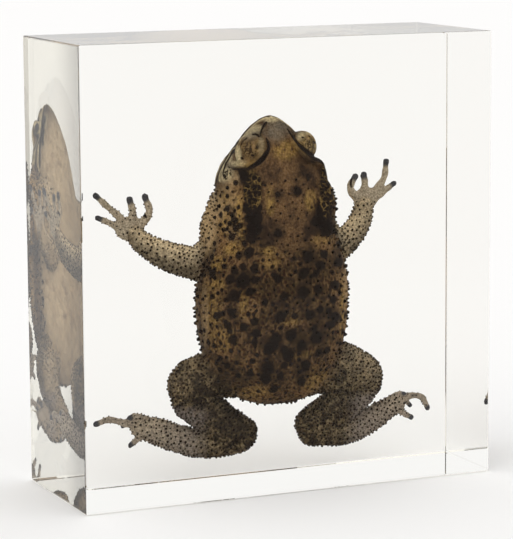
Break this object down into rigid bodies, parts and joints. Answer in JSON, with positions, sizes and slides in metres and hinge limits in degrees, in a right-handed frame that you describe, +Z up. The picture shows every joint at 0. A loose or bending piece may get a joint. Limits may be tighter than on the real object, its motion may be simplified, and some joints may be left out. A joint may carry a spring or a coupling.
{
  "type": "toad in resin block",
  "caption": "Preserved toad, limbs spread and head up, cast in a clear upright rectangular block of resin for display and study.",
  "frame": {"origin": "middle of the block's underside, on the surface that it stands on", "axes": "+Z up along the toad's body towards its head, +Y from the face that shows the toad's back to the rear face, +X to the right as seen from the front"},
  "size_m": [0.095, 0.035, 0.0975],
  "materials": {
    "skin": "satin",
    "clear_resin": "gloss"
  },
  "bodies": {
    "root": {"toad": "skin", "resin_front": "clear_resin", "resin_rear": "clear_resin"}
  },
  "joints": []
}
